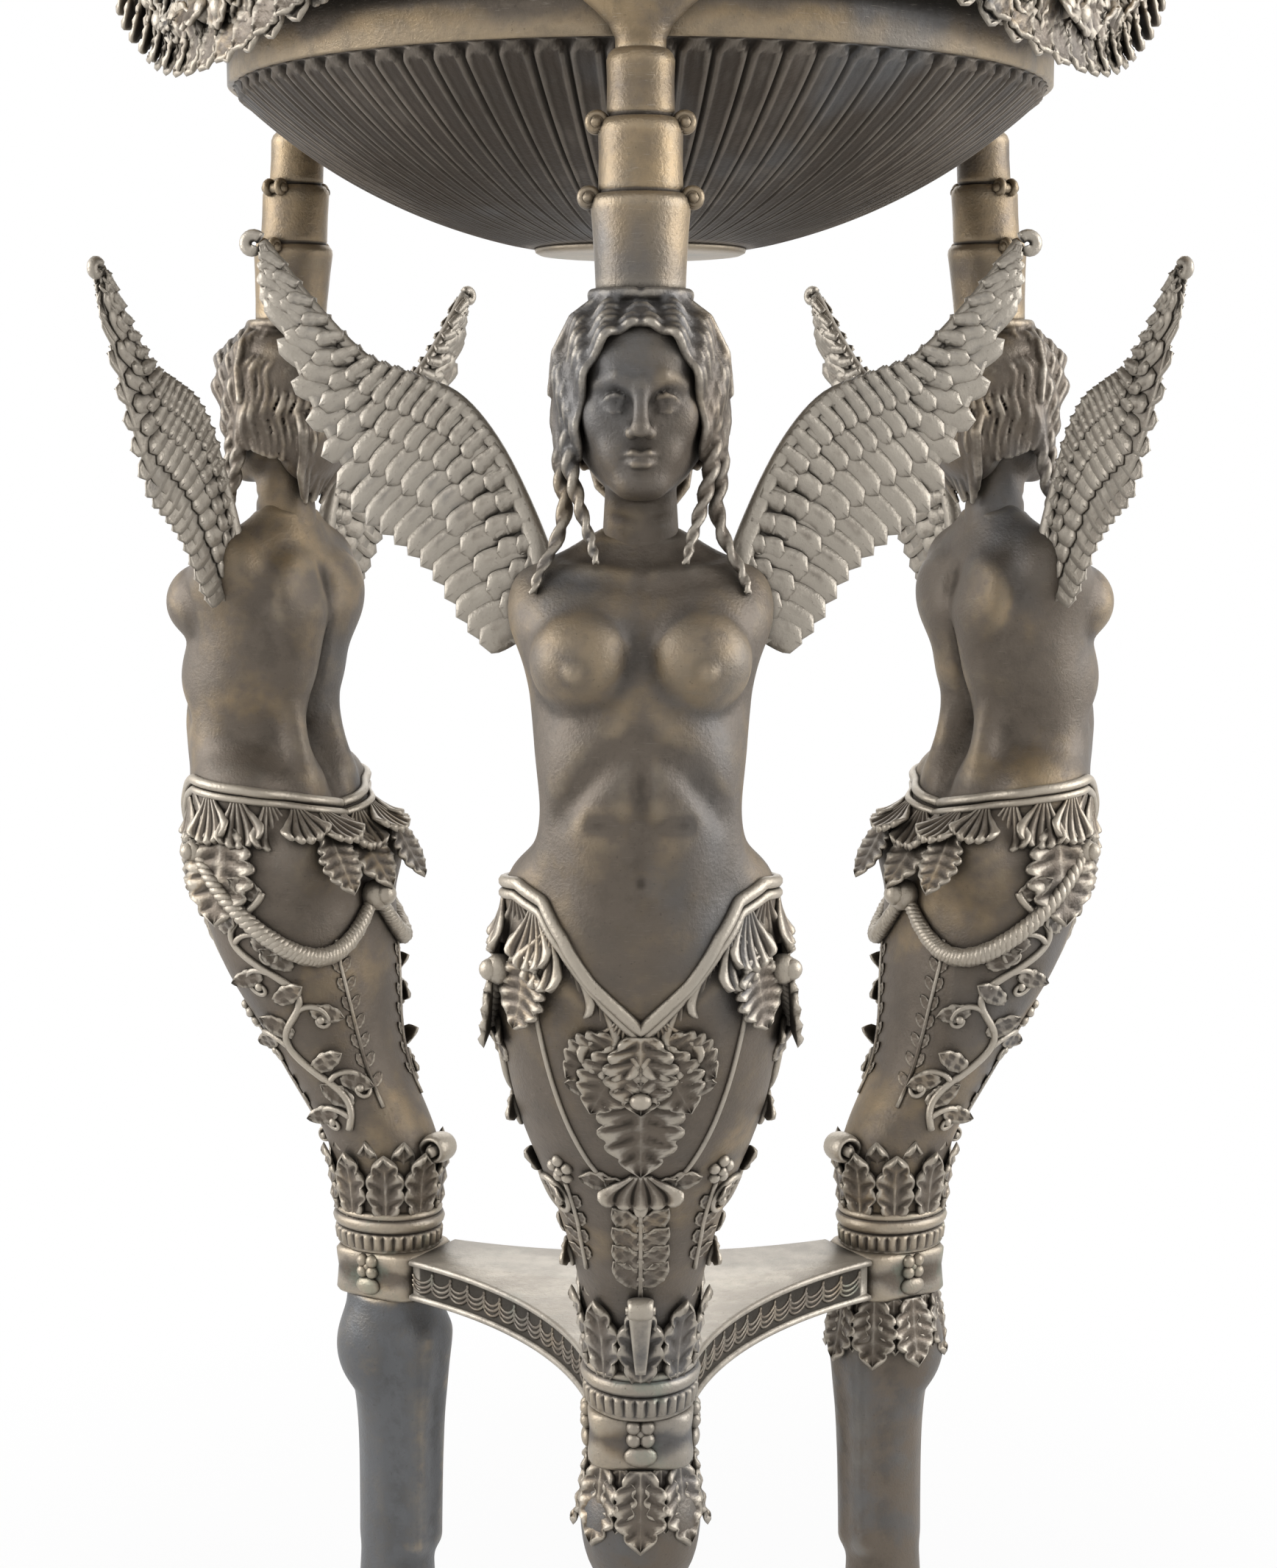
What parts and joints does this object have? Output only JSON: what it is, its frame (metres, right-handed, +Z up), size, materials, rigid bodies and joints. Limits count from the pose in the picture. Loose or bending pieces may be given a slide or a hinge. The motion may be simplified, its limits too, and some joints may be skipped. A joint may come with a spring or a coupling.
{
  "type": "bronze tripod",
  "caption": "Bronze tripod after the antique: winged female figures on lion's legs carry a gadrooned bowl with garlands, tied by a concave-sided stretcher plate.",
  "frame": {"origin": "on the floor, in the middle between the three feet", "axes": "+Z up; the front leg stands towards -Y and +X is to the right of someone who faces it"},
  "size_m": [0.6402, 0.636, 1.09],
  "materials": {
    "bronze": "aged brown patina, pitted",
    "bronze_pale": "dusty grey patina on raised ornament",
    "bronze_warm": "rubbed golden brown",
    "bronze_dark": "dark brown patina",
    "iron": "plain"
  },
  "bodies": {
    "stand": {"front_back_garland": "bronze_pale", "front_calyx": "bronze_warm", "front_collar": "bronze_pale", "front_column": "bronze_warm", "front_girdle": "bronze_pale", "front_hair": "bronze", "front_haunch": "bronze", "front_head": "bronze", "front_knee_leaves": "bronze_pale", "front_leaf_cup": "bronze_pale", "front_left_wing": "bronze_pale", "front_neck_ring": "bronze_pale", "front_paw": "bronze", "front_right_wing": "bronze_pale", "front_shank": "bronze", "front_shell_leaf": "bronze_pale", "front_torso": "bronze", "left_back_garland": "bronze_pale", "left_calyx": "bronze_warm", "left_collar": "bronze_pale", "left_column": "bronze_warm", "left_girdle": "bronze_pale", "left_hair": "bronze", "left_haunch": "bronze", "left_head": "bronze", "left_leaf_cup": "bronze_pale", "left_left_wing": "bronze_pale", "left_neck_ring": "bronze_pale", "left_paw": "bronze", "left_right_wing": "bronze_pale", "left_shank": "bronze_dark", "left_shell_leaf": "bronze_pale", "left_torso": "bronze", "right_back_garland": "bronze_pale", "right_calyx": "bronze_warm", "right_collar": "bronze_pale", "right_column": "bronze_warm", "right_girdle": "bronze_pale", "right_hair": "bronze", "right_haunch": "bronze", "right_head": "bronze", "right_knee_leaves": "bronze_pale", "right_leaf_cup": "bronze_pale", "right_left_wing": "bronze_pale", "right_neck_ring": "bronze_pale", "right_paw": "bronze", "right_right_wing": "bronze_pale", "right_shank": "bronze", "right_shell_leaf": "bronze_pale", "right_torso": "bronze", "stretcher_dowels": "iron", "stretcher_plate": "bronze_pale"},
    "bowl": {"bowl_basin": "bronze_dark", "bowl_disc": "bronze_dark", "bowl_rim": "bronze_warm", "bowl_seats": "bronze_dark", "front_festoon": "bronze_pale", "left_festoon": "bronze_pale", "right_festoon": "bronze_pale"}
  },
  "joints": [
    {"name": "bowl_lift", "type": "slide", "parent": "stand", "child": "bowl", "axis": [0, 0, 1], "range_m": [0, 0.15]}
  ]
}
